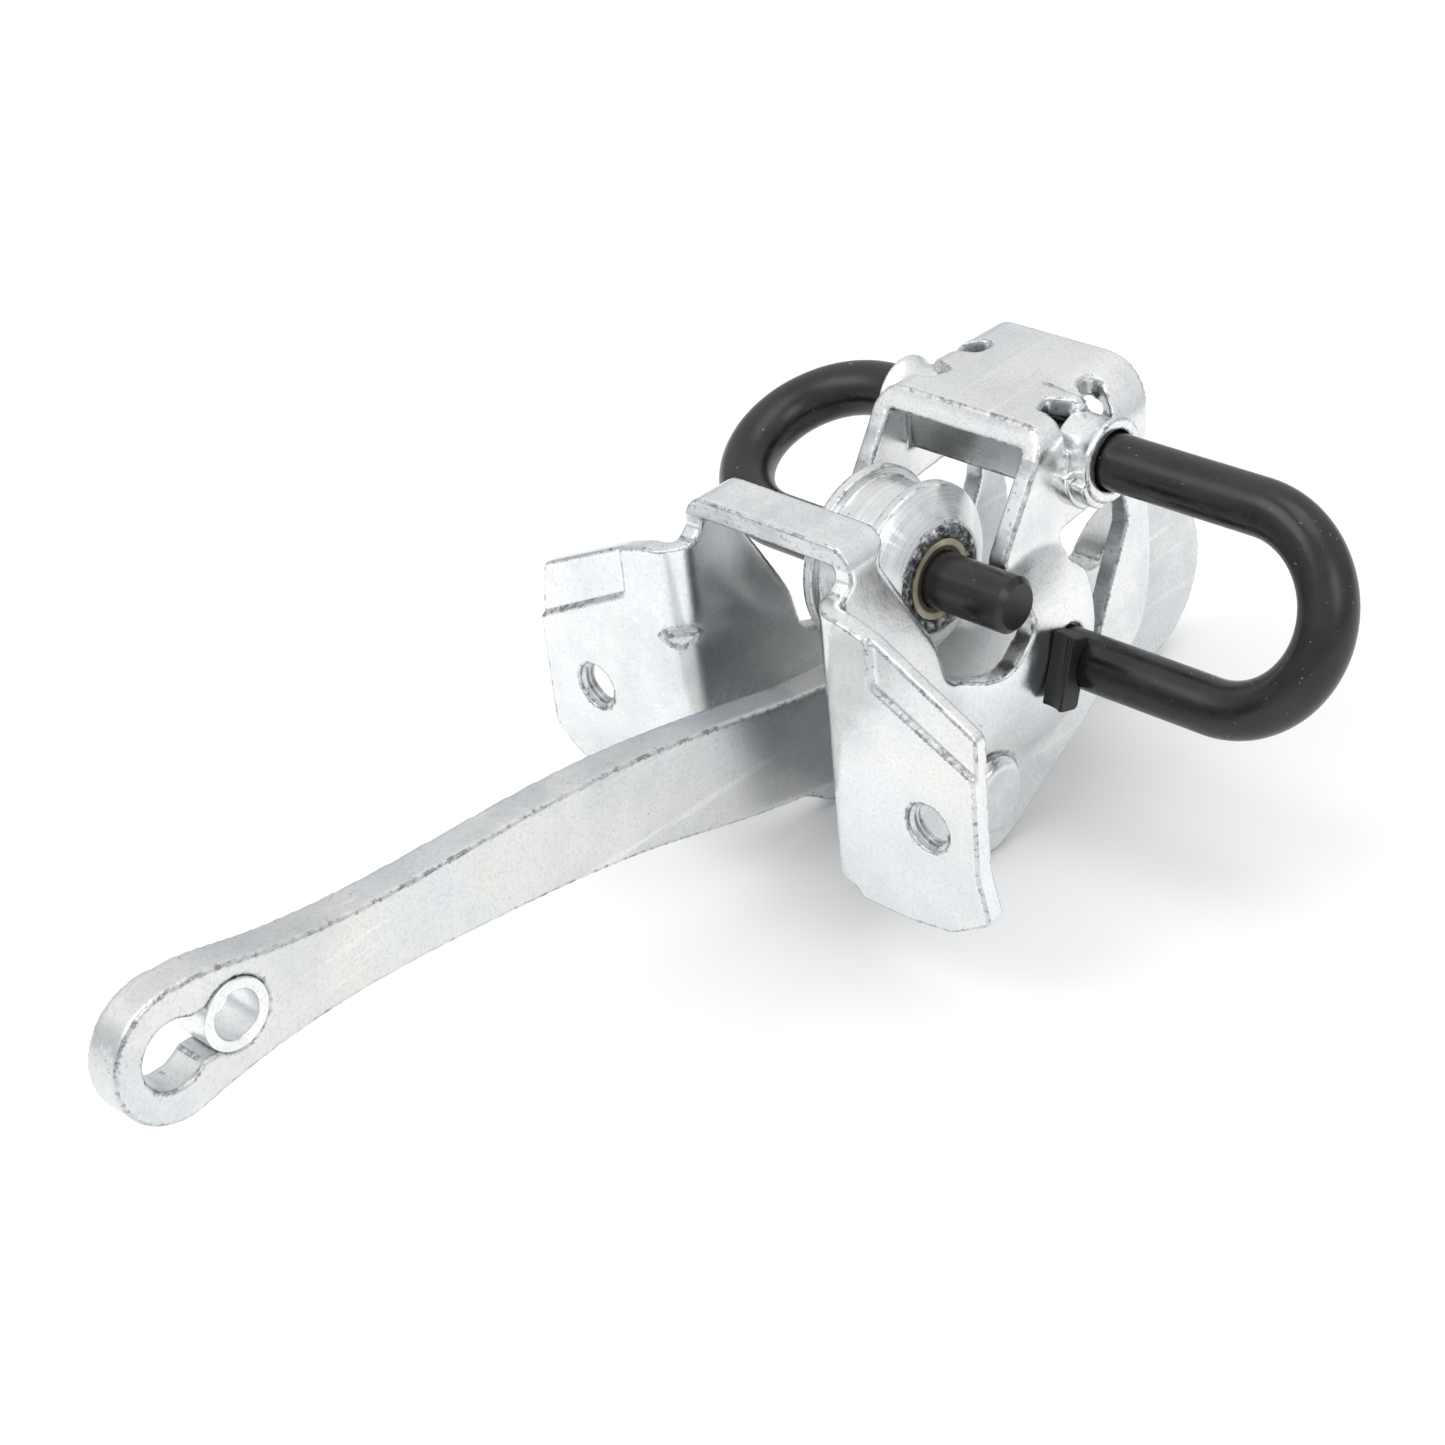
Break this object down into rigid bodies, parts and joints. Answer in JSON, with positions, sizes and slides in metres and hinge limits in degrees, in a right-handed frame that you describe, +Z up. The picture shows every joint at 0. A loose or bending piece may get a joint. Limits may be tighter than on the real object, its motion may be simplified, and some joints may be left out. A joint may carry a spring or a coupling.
{
  "type": "roller door check",
  "caption": "Roller door check: a slotted check arm slides between a wire-sprung grooved roller and a riveted guide in a folded steel bracket.",
  "frame": {"origin": "midway between the two tapped mounting holes, on the flanges' front face", "axes": "+X along the roller's axis towards the flange beside the roller pin's free end, +Y into the door through the channel, +Z up towards the bridge"},
  "size_m": [0.1, 0.2007, 0.0596],
  "materials": {
    "bracket_zinc": "bright zinc plate",
    "arm_zinc": "bright zinc plate, lightly scuffed",
    "bush_steel": "satin zinc plate",
    "roller_steel": "turned, zinc plated",
    "bush_bronze": "satin",
    "spring_black": "satin black paint",
    "block_black": "matt black paint",
    "rivet_zinc": "zinc plate",
    "sleeve_steel": "satin"
  },
  "bodies": {
    "mount": {"bracket": "bracket_zinc", "torsion_spring": "spring_black", "anchor_block": "block_black", "lower_rivet": "rivet_zinc"},
    "arm": {"check_arm": "arm_zinc", "eye_bush": "bush_steel"},
    "lever": {"spring_lever": "spring_black"},
    "roller": {"roller": "roller_steel", "roller_bush": "bush_bronze"},
    "sleeve": {"guide_sleeve": "sleeve_steel"}
  },
  "joints": [
    {"name": "arm_slide", "type": "slide", "parent": "mount", "child": "arm", "axis": [0, 0.9842, -0.1772], "range_m": [-0.036, 0.055]},
    {"name": "lever_lift", "type": "hinge", "parent": "mount", "child": "lever", "pos_m": [0, 0.0552, 0.0248], "axis": [-1, 0, 0], "range_deg": [0, 9], "stiffness_Nm_per_rad": 20, "springref_deg": -17.19},
    {"name": "roller_spin", "type": "hinge", "parent": "lever", "child": "roller", "pos_m": [0, 0.03, 0.0151], "axis": [1, 0, 0], "continuous": true},
    {"name": "sleeve_spin", "type": "hinge", "parent": "mount", "child": "sleeve", "pos_m": [0, 0.0302, -0.0172], "axis": [1, 0, 0], "continuous": true}
  ],
  "couplings": [
    {"joint": "roller_spin", "follows": "arm_slide", "rad_per_m": 88.5},
    {"joint": "sleeve_spin", "follows": "arm_slide", "rad_per_m": -333.3}
  ]
}
